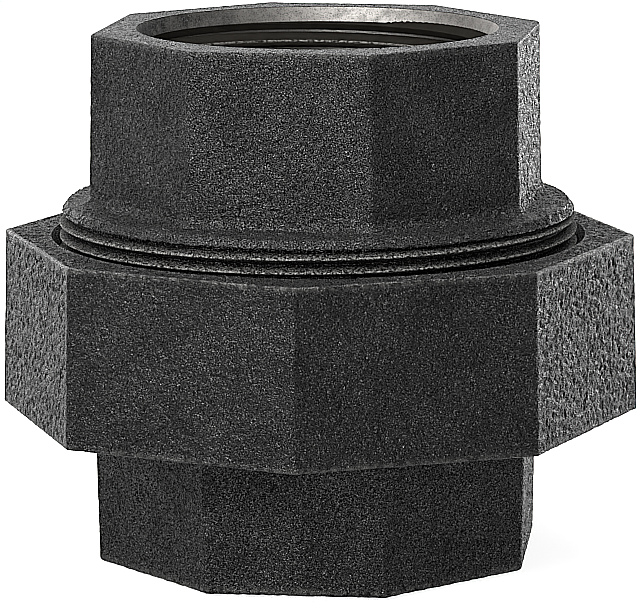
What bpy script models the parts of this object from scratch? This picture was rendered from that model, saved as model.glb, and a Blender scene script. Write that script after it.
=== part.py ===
"""Pipe union for 1 1/4 inch pipe: tail end, union nut, brass seat ring and threaded end.

Lengths are metres, +Z is up the pipe axis, and the tail end's face stands on Z = 0.
"""

import math

import bmesh
import bpy

# Tapered pipe thread, drawn smooth at its pitch diameter
PIPE_RADIUS = 0.0201          # pitch radius at the mouth of each end
PIPE_TAPER = 1 / 32           # radius lost for each unit of depth
SOCKET_DEPTH = 0.0190         # end face to the last thread
SOCKET_STEP = 0.0012          # radius lost between the last thread and the waterway
MOUTH_CHAMFER = 0.0017        # radius gained at the mouth
MOUTH_CHAMFER_DEPTH = 0.0026

# Octagonal wrench ends
END_WALL = 0.0055             # pitch radius to the flat, at the end face
TAIL_BODY_LENGTH = 0.01743    # end face to the shoulder under the nut
HEAD_BODY_LENGTH = 0.0208     # collar to the end face
END_CORNER_RADIUS = 0.0012    # upright edges
END_RIM_RADIUS = 0.0006       # edge round the end face
DRAFT_DEGREES = 1.0           # casting taper of the wrench flats

# Tail end, inside the nut
NECK_GAP = 0.0020             # turned neck to the bore of the nut's lip
FLANGE_BEARING = 0.00175      # overlap of the flange and the lip
FLANGE_THICKNESS = 0.0042
FLANGE_CHAMFER = 0.0005

# Ground joint: convex iron nose in a conical brass seat
NOSE_TIP_WALL = 0.0018        # waterway to the outside of the nose at its tip
SEAT_RISE = 0.0023            # tip radius to the sealing circle
SEAT_WIDTH = 0.0024           # sealing circle to the root of the nose
SEAT_DEGREES = 35.5           # half angle of the brass cone
SEAT_RING_HEIGHT = 0.0060
SEAT_RING_WALL = 0.0021       # at its thin lower edge
SEAT_RING_INSET = 0.0004      # lower edge above the foot of the threaded end

# Union thread, drawn smooth at its pitch diameter
THREAD_DEPTH = 0.0010         # root to crest
THREAD_LENGTH = 0.0140        # on the threaded end
THREAD_RELIEF = 0.0006        # groove under the collar
THREAD_RELIEF_DEPTH = 0.0006
THREAD_LEAD = 0.0008          # chamfer on the first thread
EXPOSED_THREAD = 0.0030       # collar to the nut when tight

# Threaded end
COLLAR_OVERHANG = 0.0004
COLLAR_THICKNESS = 0.0011     # foot to the top of its rim
COLLAR_LAND = 0.0002          # upright part of the rim
COLLAR_BEVEL = 0.0007         # radius lost from the land to the rim's top
COLLAR_CROWN = 0.0004         # rise of the collar's top towards the flare
FLARE_RADIUS = 0.0019         # casting fillet between octagon and collar
HEAD_CLEARANCE = 0.0012       # foot above the flange, so that the nose seats first
RECESS_CHAMFER = 0.0010

# Union nut
NUT_WALL = 0.0050             # thread to the flat, at the wide lower end
NUT_DRAFT_DEGREES = 1.4
NUT_CORNER_RADIUS = 0.0011
NUT_RIM_RADIUS = 0.0004
LIP_THICKNESS = 0.0042
LIP_CHAMFER = 0.0006
NUT_MOUTH = 0.0014            # chamfer at the open end
NUT_RELIEF = 0.0006           # undercut behind the thread
NUT_RUNOUT = 0.0008           # flange to the first thread

# Clearances
FIT_GAP = 0.0003              # touching faces
NUT_PASS = 0.0002             # lip over the octagon's corners
FLANGE_PASS = 0.00035         # flange through the nut's thread
NECK_PLAY = 0.0002            # shoulder below the nut

# Turn of each octagon about the axis when made up, corner forward at 0
TAIL_TURN_DEGREES = 16.05
NUT_TURN_DEGREES = -4.3
HEAD_TURN_DEGREES = 12.6

SIDES = 8
CORNER_STEPS = 4
FLAT_STEPS = 8
NOSE_STEPS = 5
FLARE_STEPS = 4
SMOOTH_DEGREES = 30

HALF_SIDE = math.pi / SIDES
END_DRAFT = math.tan(math.radians(DRAFT_DEGREES))
NUT_DRAFT = math.tan(math.radians(NUT_DRAFT_DEGREES))


def octagon(half_flats, corner_radius):
    """Radius by angle of an octagon with rounded corners, one of them at angle 0."""
    centre = (half_flats - corner_radius) / math.cos(HALF_SIDE)
    tangent = HALF_SIDE - math.atan((half_flats - corner_radius) * math.tan(HALF_SIDE) / half_flats)

    def radius(angle):
        from_corner = abs((angle + HALF_SIDE) % (2 * HALF_SIDE) - HALF_SIDE)
        if from_corner > tangent:
            return half_flats / math.cos(HALF_SIDE - from_corner)
        across = centre * math.sin(from_corner)
        return centre * math.cos(from_corner) + math.sqrt(corner_radius**2 - across**2)

    return radius


def circle(radius):
    return lambda angle: radius


def corner_reach(half_flats, corner_radius):
    return octagon(half_flats, corner_radius)(0.0)


def sector_angles(half_flats, corner_radius):
    """Angles of one turn, close together round each corner of an octagon."""
    arc = HALF_SIDE - math.atan((half_flats - corner_radius) * math.tan(HALF_SIDE) / half_flats)
    flat = 2 * (HALF_SIDE - arc)
    angles = []
    for side in range(SIDES):
        corner = 2 * HALF_SIDE * side
        angles += [corner - arc + 2 * arc * step / CORNER_STEPS for step in range(CORNER_STEPS)]
        angles += [corner + arc + flat * step / FLAT_STEPS for step in range(FLAT_STEPS)]
    return angles


def finish(name, colour, metallic, roughness):
    material = bpy.data.materials.new(name)
    material.use_nodes = True
    shader = material.node_tree.nodes["Principled BSDF"]
    shader.inputs["Base Color"].default_value = (*colour, 1.0)
    shader.inputs["Metallic"].default_value = metallic
    shader.inputs["Roughness"].default_value = roughness
    return material


def set_section(verts, height, outline):
    """Moves a loop to a height and an outline, each vertex keeping its angle."""
    for vert in verts:
        angle = math.atan2(vert.co.y, vert.co.x)
        radius = outline(angle)
        vert.co = (radius * math.cos(angle), radius * math.sin(angle), height)


def hollow_body(name, sections, angles, material):
    """A closed body with a bore, extruded through (height, outline) sections, the last joined to the first."""
    bm = bmesh.new()
    verts = bmesh.ops.create_circle(bm, segments=len(angles), radius=1.0)["verts"]
    for vert, angle in zip(verts, angles):
        vert.co = (math.cos(angle), math.sin(angle), 0.0)
    set_section(verts, *sections[0])
    first_loop = list(bm.edges)
    loop = first_loop
    for height, outline in sections[1:]:
        made = bmesh.ops.extrude_edge_only(bm, edges=loop)["geom"]
        set_section([item for item in made if isinstance(item, bmesh.types.BMVert)], height, outline)
        loop = [item for item in made if isinstance(item, bmesh.types.BMEdge)]
    bmesh.ops.bridge_loops(bm, edges=first_loop + loop)
    bmesh.ops.recalc_face_normals(bm, faces=bm.faces)
    mesh = bpy.data.meshes.new(name)
    bm.to_mesh(mesh)
    bm.free()
    mesh.shade_smooth()
    mesh.set_sharp_from_angle(angle=math.radians(SMOOTH_DEGREES))
    mesh.materials.append(material)
    body = bpy.data.objects.new(name, mesh)
    bpy.context.scene.collection.objects.link(body)
    return body


def rim(face_z, inward, half_flats, draft, rim_radius, corner_radius):
    """Rounded edge of an octagonal end face, from the face to its side."""
    sections = []
    for share in (0.0, 0.5, 1.0):
        turn = share * math.pi / 2
        depth = rim_radius * (1 - math.cos(turn))
        inset = rim_radius * (1 - math.sin(turn))
        flats = half_flats + draft * depth - inset
        sections.append((face_z + inward * depth, octagon(flats, corner_radius)))
    return sections


def socket(face_z, inward):
    """Threaded mouth of an end, from its face in to the waterway."""
    return [
        (face_z, circle(PIPE_RADIUS + MOUTH_CHAMFER)),
        (face_z + inward * MOUTH_CHAMFER_DEPTH, circle(PIPE_RADIUS - PIPE_TAPER * MOUTH_CHAMFER_DEPTH)),
        (face_z + inward * SOCKET_DEPTH, circle(SOCKET_END_RADIUS)),
        (face_z + inward * (SOCKET_DEPTH + SOCKET_STEP), circle(WATERWAY_RADIUS)),
    ]


# Radii, worked outwards from the pipe
SOCKET_END_RADIUS = PIPE_RADIUS - PIPE_TAPER * SOCKET_DEPTH
WATERWAY_RADIUS = SOCKET_END_RADIUS - SOCKET_STEP
END_HALF_FLATS = PIPE_RADIUS + END_WALL
TAIL_SHOULDER_FLATS = END_HALF_FLATS + END_DRAFT * TAIL_BODY_LENGTH
LIP_RADIUS = corner_reach(TAIL_SHOULDER_FLATS, END_CORNER_RADIUS) + NUT_PASS
NECK_RADIUS = LIP_RADIUS - NECK_GAP
FLANGE_RADIUS = LIP_RADIUS + FLANGE_BEARING
THREAD_PITCH_RADIUS = FLANGE_RADIUS + FLANGE_PASS + THREAD_DEPTH / 2
MALE_RADIUS = THREAD_PITCH_RADIUS - FIT_GAP / 2
FEMALE_RADIUS = THREAD_PITCH_RADIUS + FIT_GAP / 2
COLLAR_RADIUS = MALE_RADIUS + COLLAR_OVERHANG
NUT_HALF_FLATS = FEMALE_RADIUS + NUT_WALL

# Ground joint
NOSE_TIP_RADIUS = WATERWAY_RADIUS + NOSE_TIP_WALL
SEAL_RADIUS = NOSE_TIP_RADIUS + SEAT_RISE
NOSE_ROOT_RADIUS = SEAL_RADIUS + SEAT_WIDTH
SEAT_ANGLE = math.radians(SEAT_DEGREES)
NOSE_SPHERE = SEAL_RADIUS / math.cos(SEAT_ANGLE)

# Heights, stacked up from the tail's end face
FLANGE_FOOT = TAIL_BODY_LENGTH + NECK_PLAY + LIP_THICKNESS + FIT_GAP
FLANGE_TOP = FLANGE_FOOT + FLANGE_THICKNESS
NOSE_CENTRE = FLANGE_TOP - math.sqrt(NOSE_SPHERE**2 - NOSE_ROOT_RADIUS**2)
NUT_FOOT = FLANGE_FOOT - FIT_GAP - LIP_THICKNESS
HEAD_FOOT = FLANGE_TOP + HEAD_CLEARANCE
SEAT_FOOT = HEAD_FOOT + SEAT_RING_INSET
COLLAR_FOOT = HEAD_FOOT + THREAD_LENGTH + THREAD_RELIEF
NUT_HEIGHT = COLLAR_FOOT - EXPOSED_THREAD - NUT_FOOT


def seat_cone(height):
    """Inner radius of the brass seat at a height, one gap off the nose along the sealing normal."""
    seal_z = NOSE_CENTRE + NOSE_SPHERE * math.sin(SEAT_ANGLE) + FIT_GAP * math.sin(SEAT_ANGLE)
    seal_r = SEAL_RADIUS + FIT_GAP * math.cos(SEAT_ANGLE)
    return seal_r - (height - seal_z) * math.tan(SEAT_ANGLE)


SEAT_RING_RADIUS = seat_cone(SEAT_FOOT) + SEAT_RING_WALL
RECESS_RADIUS = SEAT_RING_RADIUS + FIT_GAP
RECESS_TOP = SEAT_FOOT + SEAT_RING_HEIGHT + FIT_GAP


def nose():
    """Convex ground nose, a zone of a sphere from its root up to its tip."""
    root = math.asin(NOSE_ROOT_RADIUS / NOSE_SPHERE)
    tip = math.asin(NOSE_TIP_RADIUS / NOSE_SPHERE)
    turns = [root + (tip - root) * step / NOSE_STEPS for step in range(NOSE_STEPS + 1)]
    return [
        (NOSE_CENTRE + NOSE_SPHERE * math.cos(turn), circle(NOSE_SPHERE * math.sin(turn)))
        for turn in turns
    ]


def tail_end(material):
    """Lower casting: octagon, turned neck, flange and nose round a tapered socket."""
    sections = rim(0.0, 1, END_HALF_FLATS, END_DRAFT, END_RIM_RADIUS, END_CORNER_RADIUS)
    sections += [
        (TAIL_BODY_LENGTH - END_RIM_RADIUS, octagon(TAIL_SHOULDER_FLATS, END_CORNER_RADIUS)),
        (TAIL_BODY_LENGTH, octagon(TAIL_SHOULDER_FLATS - END_RIM_RADIUS, END_CORNER_RADIUS)),
        (TAIL_BODY_LENGTH + NECK_PLAY, circle(NECK_RADIUS)),
        (FLANGE_FOOT, circle(NECK_RADIUS)),
        (FLANGE_FOOT, circle(FLANGE_RADIUS - FLANGE_CHAMFER)),
        (FLANGE_FOOT + FLANGE_CHAMFER, circle(FLANGE_RADIUS)),
        (FLANGE_TOP - FLANGE_CHAMFER, circle(FLANGE_RADIUS)),
        (FLANGE_TOP, circle(FLANGE_RADIUS - FLANGE_CHAMFER)),
    ]
    sections += nose()
    tip_z = sections[-1][0]
    sections.append((tip_z, circle(WATERWAY_RADIUS)))
    sections += reversed(socket(0.0, 1))
    angles = sector_angles(END_HALF_FLATS, END_CORNER_RADIUS)
    return hollow_body("tail_end", sections, angles, material)


def union_nut(material):
    """Octagonal nut: drafted sides, inner thread behind a mouth chamfer, and the lip at its foot."""
    top_flats = NUT_HALF_FLATS - NUT_DRAFT * NUT_HEIGHT
    lip_top = LIP_THICKNESS
    thread_foot = FLANGE_TOP + NUT_RUNOUT - NUT_FOOT
    relief_radius = FEMALE_RADIUS + NUT_RELIEF
    sections = rim(0.0, 1, NUT_HALF_FLATS, -NUT_DRAFT, NUT_RIM_RADIUS, NUT_CORNER_RADIUS)
    sections += reversed(rim(NUT_HEIGHT, -1, top_flats, NUT_DRAFT, NUT_RIM_RADIUS, NUT_CORNER_RADIUS))
    sections += [
        (NUT_HEIGHT, circle(FEMALE_RADIUS + NUT_MOUTH)),
        (NUT_HEIGHT - NUT_MOUTH, circle(FEMALE_RADIUS)),
        (thread_foot, circle(FEMALE_RADIUS)),
        (thread_foot - NUT_RELIEF, circle(relief_radius)),
        (lip_top + NUT_RELIEF, circle(relief_radius)),
        (lip_top, circle(relief_radius - NUT_RELIEF)),
        (lip_top, circle(LIP_RADIUS)),
        (LIP_CHAMFER, circle(LIP_RADIUS)),
        (0.0, circle(LIP_RADIUS + LIP_CHAMFER)),
    ]
    angles = sector_angles(NUT_HALF_FLATS, NUT_CORNER_RADIUS)
    nut = hollow_body("union_nut", sections, angles, material)
    nut.location.z = NUT_FOOT
    return nut


def brass_seat(material):
    """Seat ring with a conical inner face, pressed up into the foot of the threaded end."""
    top = SEAT_FOOT + SEAT_RING_HEIGHT
    sections = [
        (0.0, circle(seat_cone(SEAT_FOOT))),
        (0.0, circle(SEAT_RING_RADIUS)),
        (SEAT_RING_HEIGHT, circle(SEAT_RING_RADIUS)),
        (SEAT_RING_HEIGHT, circle(seat_cone(top))),
    ]
    angles = sector_angles(END_HALF_FLATS, END_CORNER_RADIUS)
    ring = hollow_body("brass_seat", sections, angles, material)
    ring.location.z = SEAT_FOOT
    return ring


def flare(collar_top, foot_flats):
    """Casting fillet that opens the octagon out on to the collar, from the collar upwards."""
    sections = []
    for step in range(FLARE_STEPS + 1):
        turn = math.pi / 2 * step / FLARE_STEPS
        spread = FLARE_RADIUS * (1 - math.sin(turn))
        height = collar_top + COLLAR_CROWN + FLARE_RADIUS * (1 - math.cos(turn))
        sections.append((height, octagon(foot_flats + spread, END_CORNER_RADIUS + spread)))
    return sections


def thread_end(material):
    """Upper casting: seat recess, male thread, collar, flare and octagon round a tapered socket."""
    collar_foot = THREAD_LENGTH + THREAD_RELIEF
    collar_top = collar_foot + COLLAR_THICKNESS
    height = collar_top + HEAD_BODY_LENGTH
    flare_top = collar_top + COLLAR_CROWN + FLARE_RADIUS
    foot_flats = END_HALF_FLATS + END_DRAFT * (height - flare_top)
    recess_top = RECESS_TOP - HEAD_FOOT
    sections = [
        (0.0, circle(RECESS_RADIUS)),
        (0.0, circle(MALE_RADIUS - THREAD_LEAD)),
        (THREAD_LEAD, circle(MALE_RADIUS)),
        (THREAD_LENGTH, circle(MALE_RADIUS)),
        (THREAD_LENGTH, circle(MALE_RADIUS - THREAD_RELIEF_DEPTH)),
        (collar_foot, circle(MALE_RADIUS - THREAD_RELIEF_DEPTH)),
        (collar_foot, circle(COLLAR_RADIUS)),
        (collar_foot + COLLAR_LAND, circle(COLLAR_RADIUS)),
        (collar_top, circle(COLLAR_RADIUS - COLLAR_BEVEL)),
    ]
    sections += flare(collar_top, foot_flats)
    sections += reversed(rim(height, -1, END_HALF_FLATS, END_DRAFT, END_RIM_RADIUS, END_CORNER_RADIUS))
    sections += socket(height, -1)
    sections += [
        (recess_top + RECESS_CHAMFER, circle(WATERWAY_RADIUS)),
        (recess_top, circle(WATERWAY_RADIUS + RECESS_CHAMFER)),
        (recess_top, circle(RECESS_RADIUS)),
    ]
    angles = sector_angles(END_HALF_FLATS, END_CORNER_RADIUS)
    head = hollow_body("thread_end", sections, angles, material)
    head.location.z = HEAD_FOOT
    return head


def main():
    for old in list(bpy.data.objects):
        bpy.data.objects.remove(old, do_unlink=True)
    iron = {"colour": (0.045, 0.045, 0.047), "metallic": 0.35, "roughness": 0.6}
    tail = tail_end(finish("tail_black_iron", **iron))
    nut = union_nut(finish("nut_black_iron", **iron))
    head = thread_end(finish("head_black_iron", **iron))
    seat = brass_seat(finish("seat_brass", (0.70, 0.50, 0.20), 1.0, 0.35))
    tail.rotation_euler.z = math.radians(TAIL_TURN_DEGREES)
    nut.rotation_euler.z = math.radians(NUT_TURN_DEGREES)
    head.rotation_euler.z = math.radians(HEAD_TURN_DEGREES)
    axis = bpy.data.objects.new("pipe_axis", None)
    bpy.context.scene.collection.objects.link(axis)
    for piece in (tail, nut, seat, head):
        piece.parent = axis


main()
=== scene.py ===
"""Black iron pipe union, dressed: sand-cast octagons, cut threads, a turned mouth and a ground brass seat.

Lengths are metres in the part's own frame: +Z runs up the pipe axis and the photographed side faces -Y.
"""

import logging
import math
from abc import ABC, abstractmethod
from collections.abc import Callable
from dataclasses import dataclass, field, replace
from enum import Enum, IntEnum

import bmesh
import bpy
from mathutils import Matrix, Vector, noise


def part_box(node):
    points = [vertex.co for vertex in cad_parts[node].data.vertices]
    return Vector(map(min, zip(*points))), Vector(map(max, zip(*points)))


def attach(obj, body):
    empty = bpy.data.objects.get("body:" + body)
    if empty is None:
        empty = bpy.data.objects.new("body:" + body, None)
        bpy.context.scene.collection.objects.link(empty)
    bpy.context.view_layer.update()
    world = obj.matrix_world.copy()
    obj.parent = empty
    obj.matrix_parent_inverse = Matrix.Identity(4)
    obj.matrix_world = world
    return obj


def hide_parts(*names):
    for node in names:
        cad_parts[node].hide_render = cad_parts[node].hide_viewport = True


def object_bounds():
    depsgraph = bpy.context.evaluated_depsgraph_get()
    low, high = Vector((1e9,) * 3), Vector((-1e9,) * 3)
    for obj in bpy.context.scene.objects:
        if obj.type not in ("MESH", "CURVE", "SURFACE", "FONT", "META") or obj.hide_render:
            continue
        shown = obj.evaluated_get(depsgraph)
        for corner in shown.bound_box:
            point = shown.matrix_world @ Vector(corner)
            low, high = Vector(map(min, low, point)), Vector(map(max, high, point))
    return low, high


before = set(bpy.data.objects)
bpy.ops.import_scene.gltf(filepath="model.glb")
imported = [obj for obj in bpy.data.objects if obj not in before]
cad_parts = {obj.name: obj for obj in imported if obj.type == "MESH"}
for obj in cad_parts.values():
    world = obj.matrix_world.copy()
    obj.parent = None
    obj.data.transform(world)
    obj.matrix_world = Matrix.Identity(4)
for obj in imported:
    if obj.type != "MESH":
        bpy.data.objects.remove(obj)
CAD_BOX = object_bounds()
LOG = logging.getLogger("pipe_union")

ORIGIN = (0.0, 0.0, 0.0)
AXIS = (0.0, 0.0, 1.0)
TURN = 2 * math.pi
SIDES = 8
HALF_SIDE = math.pi / SIDES
FRONT = -math.pi / 2
SMOOTH_ANGLE = math.radians(32)
WHITE = (1.0, 1.0, 1.0, 1.0)
WEAR_LAYER = "worn_edge"
SKIN_LAYER = "cast_skin"
ALONG_LAYER = "along_helix"
PLACE_LAYER = "place_in_section"

Colour = tuple[float, float, float, float]
Point = tuple[float, float, float]
Range = tuple[float, float]
Feed = bpy.types.NodeSocket | float | tuple


class Zone(IntEnum):
    """Kinds of surface on an iron piece, numbered as its material slots.

    They are the sand-cast skin, the cut union thread, bare turned metal, the flanks of the pipe thread, the
    bright roots between them, cast faces that a cutter has skimmed, and the chamfered mouths.
    """

    CAST = 0
    THREAD = 1
    TURNED = 2
    BORE = 3
    ROOT = 4
    FACE = 5
    MOUTH = 6


class Way(IntEnum):
    """Which way a socket or a rim runs into its piece."""

    UP = 1
    DOWN = -1


def off_corner(angle: float) -> float:
    """Angle from the nearest corner of an octagon that has a corner at 0."""
    return (angle + HALF_SIDE) % (2 * HALF_SIDE) - HALF_SIDE


def mixed(first: float, last: float, share: float) -> float:
    """Value part of the way from one to another."""
    return first + (last - first) * share


def to_mesh(bm: bmesh.types.BMesh, name: str) -> bpy.types.Mesh:
    """Mesh made from a bmesh.

    Args:
        bm: The bmesh, freed here.
        name: Name of the mesh.

    Returns:
        The mesh.
    """
    mesh = bpy.data.meshes.new(name)
    bm.to_mesh(mesh)
    bm.free()
    return mesh


def linked(name: str, data: bpy.types.ID) -> bpy.types.Object:
    """Object of some data, at the origin of the scene.

    Args:
        name: Its name.
        data: A mesh, light or camera.

    Returns:
        The linked object.
    """
    made = bpy.data.objects.new(name, data)
    bpy.context.scene.collection.objects.link(made)
    return made


def closed_section(bm: bmesh.types.BMesh, points: list[tuple[float, float]]) -> list[bmesh.types.BMVert]:
    """Draws a closed outline on the X side of the axis.

    Args:
        bm: Where it is drawn.
        points: Radius and height of each point, in order.

    Returns:
        Its vertices.
    """
    verts = [bm.verts.new((radius, 0.0, height)) for radius, height in points]
    for before, here in zip(verts[-1:] + verts, verts):
        bm.edges.new((before, here))
    return verts


@dataclass(frozen=True)
class Station:
    """One level of a casting: a rounded octagon, or a circle where the corner radius is the whole radius.

    Attributes:
        height: Level on the pipe axis.
        half_flats: Half the width across flats.
        corner_radius: Radius of the upright corners.
        zone: Surface of the band that runs from here to the next station.
        skin: Depth of the uneven casting skin, 1 for the usual depth.
        worn: Wear of the edge at this level, from 0 to 1.
    """

    height: float
    half_flats: float
    corner_radius: float
    zone: Zone = Zone.CAST
    skin: float = 1.0
    worn: float = 0.0

    def corner_arc(self) -> float:
        """Half the angle that a rounded corner takes, seen from the axis."""
        straight = self.half_flats - self.corner_radius
        return HALF_SIDE - math.atan(straight * math.tan(HALF_SIDE) / self.half_flats)

    def radius(self, angle: float) -> float:
        """Distance from the axis to the outline.

        Args:
            angle: Direction about the axis, with a corner at 0.

        Returns:
            The radius in that direction.
        """
        from_corner = abs(off_corner(angle))
        if from_corner > self.corner_arc():
            return self.half_flats / math.cos(HALF_SIDE - from_corner)
        centre = (self.half_flats - self.corner_radius) / math.cos(HALF_SIDE)
        across = centre * math.sin(from_corner)
        return centre * math.cos(from_corner) + math.sqrt(self.corner_radius**2 - across**2)

    def toward(self, other: "Station", share: float) -> "Station":
        """A station part of the way to the next one.

        Args:
            other: The next station.
            share: How far along, from 0 to 1.

        Returns:
            The unworn station in between, with this one's zone. At either end it has the calmer skin.
        """
        calmer = min(self.skin, other.skin)
        return Station(
            mixed(self.height, other.height, share),
            mixed(self.half_flats, other.half_flats, share),
            mixed(self.corner_radius, other.corner_radius, share),
            self.zone,
            calmer if share in (0.0, 1.0) else mixed(self.skin, other.skin, share),
        )


def ring(
    height: float, radius: float, zone: Zone = Zone.TURNED, skin: float = 0.0, worn: float = 0.0,
) -> Station:
    """A round station, turned unless its zone says otherwise.

    Args:
        height: Level on the pipe axis.
        radius: Radius of the circle.
        zone: Surface of the band that starts here.
        skin: Depth of the casting skin.
        worn: Wear of the edge.

    Returns:
        The station.
    """
    return Station(height, radius, radius, zone, skin, worn)


def arc(first: Station, last: Station, bulge: bool, steps: int) -> list[Station]:
    """Stations of a quarter round between two levels, both ends included.

    Args:
        first: Where the rounding starts.
        last: Where it ends.
        bulge: True where the round starts along the axis, False where it starts across it.
        steps: Number of chords.

    Returns:
        The stations from first to last, worn as the more worn end.
    """
    made = []
    for step in range(steps + 1):
        turn = math.pi / 2 * step / steps
        ahead, aside = math.sin(turn), 1 - math.cos(turn)
        along, across = (ahead, aside) if bulge else (aside, ahead)
        height = mixed(first.height, last.height, along)
        made.append(replace(first.toward(last, across), height=height, worn=max(first.worn, last.worn)))
    return made


@dataclass(frozen=True)
class CadSolid:
    """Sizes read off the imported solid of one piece.

    Attributes:
        foot: Its lowest level.
        top: Its highest level.
        reach: Radius over the corners of its octagon.
        turn: Turn of the octagon about the axis.
    """

    foot: float
    top: float
    reach: float
    turn: float

    @classmethod
    def measure(cls, node: str, low_share: float, high_share: float) -> "CadSolid":
        """Reads a node's levels, and its octagon between two of them.

        Args:
            node: Name of the CAD node.
            low_share: Share of the height where its octagon starts.
            high_share: Share of the height where its octagon ends.

        Returns:
            The sizes.
        """
        low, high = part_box(node)
        span = high.z - low.z
        vertices = [vertex.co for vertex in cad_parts[node].data.vertices]
        octagon = [co for co in vertices if low_share * span <= co.z - low.z <= high_share * span]
        corner = max(octagon, key=lambda co: co.xy.length)
        return cls(low.z, high.z, corner.xy.length, off_corner(math.atan2(corner.y, corner.x)))

    def half_flats(self, corner_radius: float) -> float:
        """Half the width across flats that gives the reach with such a corner radius."""
        return (self.reach - corner_radius) * math.cos(HALF_SIDE) + corner_radius


@dataclass(frozen=True)
class ThreadRidge:
    """Helical ridge of a right-hand thread, closed, with its foot sunk in a round wall.

    Attributes:
        root: Radius of the wall that it stands on.
        crest: Radius of its crest.
        pitch: Rise in one turn.
        turns: Whole turns that it makes.
        low: Level of its middle at its lower end.
        front_level: Level of one of its crests on the photographed side.
        limit: Crest radius allowed at a level, where a chamfer cuts the thread.
        taper: Radius gained for each unit of height.
        taper_level: Level where the radii are given.
        crest_flat: Width of the crest before rounding, as a share of the pitch.
        root_flat: Width of the gap at the root, as a share of the pitch.
        fade: Angle over which each end runs out.
        steps: Chords in a turn.
        sunk: Depth of its foot inside the wall.
        crest_round: Share of the depth taken by the rounding of the crest.
        crest_top: Share of the crest's width left at its very top.
        shoulder_wear: Wear beside the crest, from 0 to 1.
    """

    root: float
    crest: float
    pitch: float
    turns: int
    low: float
    front_level: float
    limit: Callable[[float], float]
    taper: float = 0.0
    taper_level: float = 0.0
    crest_flat: float = 0.12
    root_flat: float = 0.14
    fade: float = math.radians(100)
    steps: int = 180
    sunk: float = 0.0002
    crest_round: float = 0.12
    crest_top: float = 0.6
    shoulder_wear: float = 0.4

    def foot(self) -> float:
        """Radius of the ridge's foot, inside the wall."""
        return self.root - math.copysign(self.sunk, self.crest - self.root)

    def profile(self) -> list[tuple[float, float, float]]:
        """Points of the ridge's section.

        Returns:
            Radius, height about the ridge's middle, and crest wear of each point, in order round the section.
        """
        half_root = self.pitch * (1 - self.root_flat) / 2
        half_crest = self.pitch * self.crest_flat / 2
        shoulder = mixed(self.crest, self.root, self.crest_round)
        half_shoulder = mixed(half_crest, half_root, self.crest_round)
        upper = [
            (self.crest, half_crest * self.crest_top, 1.0),
            (shoulder, half_shoulder, self.shoulder_wear),
            (self.root, half_root, 0.0),
            (self.foot(), half_root, 0.0),
        ]
        return [(radius, -rise, wear) for radius, rise, wear in reversed(upper)] + upper

    def one_turn(self, section: list[tuple[float, float, float]]) -> bpy.types.Mesh:
        """Winds the section once round the axis from the ridge's low end.

        Args:
            section: Points of the section, as profile gives them.

        Returns:
            The open turn, each vertex marked with its step along the helix and its place in the section.
        """
        bm = bmesh.new()
        wear = bm.verts.layers.float.new(WEAR_LAYER)
        along = bm.verts.layers.int.new(ALONG_LAYER)
        place = bm.verts.layers.int.new(PLACE_LAYER)
        points = closed_section(bm, [(radius, self.low + rise) for radius, rise, _ in section])
        start = FRONT + TURN * (self.low - self.front_level) / self.pitch
        bmesh.ops.rotate(bm, cent=ORIGIN, matrix=Matrix.Rotation(start, 3, "Z"), verts=points)
        bmesh.ops.spin(
            bm, geom=points + bm.edges[:], cent=ORIGIN, axis=AXIS, angle=TURN, steps=self.steps,
            dvec=(0.0, 0.0, self.pitch / self.steps), use_merge=False, use_duplicate=False)
        for index, vert in enumerate(bm.verts):
            vert[along], vert[place] = divmod(index, len(section))
            vert[wear] = section[vert[place]][2]
        return to_mesh(bm, "turn")

    def settle(
        self, vert: bmesh.types.BMVert, radius: float, rise: float, wear: bmesh.types.BMLayerItem,
    ) -> None:
        """Sets a vertex at its radius, faded at the ends, tapered, and cut back unworn by the chamfer.

        Args:
            vert: The vertex, at its angle and level.
            radius: Its radius in the section.
            rise: Share of the full depth left by the run-out.
            wear: The wear layer.
        """
        faded = mixed(self.foot(), radius, rise) + self.taper * (vert.co.z - self.taper_level)
        allowed = self.limit(vert.co.z)
        cut = faded > allowed if self.crest > self.root else faded < allowed
        vert.co.xy = vert.co.xy.normalized() * (allowed if cut else faded)
        if cut:
            vert[wear] = 0.0

    def mesh(self, zone: Zone) -> bpy.types.Mesh:
        """Stacks whole turns up the helix and runs out both ends.

        Args:
            zone: Surface of its faces.

        Returns:
            A closed mesh in place.
        """
        section = self.profile()
        turn = self.one_turn(section)
        bm = bmesh.new()
        for number in range(self.turns):
            start = len(bm.verts)
            bm.from_mesh(turn)
            bm.verts.ensure_lookup_table()
            added = bm.verts[start:]
            bmesh.ops.translate(bm, verts=added, vec=(0.0, 0.0, number * self.pitch))
            along = bm.verts.layers.int[ALONG_LAYER]
            for vert in added:
                vert[along] += number * self.steps
        bpy.data.meshes.remove(turn)
        bmesh.ops.remove_doubles(bm, verts=bm.verts, dist=self.sunk / 100)
        along = bm.verts.layers.int[ALONG_LAYER]
        place = bm.verts.layers.int[PLACE_LAYER]
        wear = bm.verts.layers.float[WEAR_LAYER]
        fade_steps = self.fade / TURN * self.steps
        count = self.turns * self.steps
        for vert in bm.verts:
            rise = min(1.0, vert[along] / fade_steps, (count - vert[along]) / fade_steps)
            self.settle(vert, section[vert[place]][0], rise, wear)
        bmesh.ops.holes_fill(bm, edges=[edge for edge in bm.edges if edge.is_boundary], sides=0)
        bmesh.ops.recalc_face_normals(bm, faces=bm.faces)
        for face in bm.faces:
            face.material_index = zone
        for layer in (ALONG_LAYER, PLACE_LAYER):
            bm.verts.layers.int.remove(bm.verts.layers.int[layer])
        return to_mesh(bm, "ridge")


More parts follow.
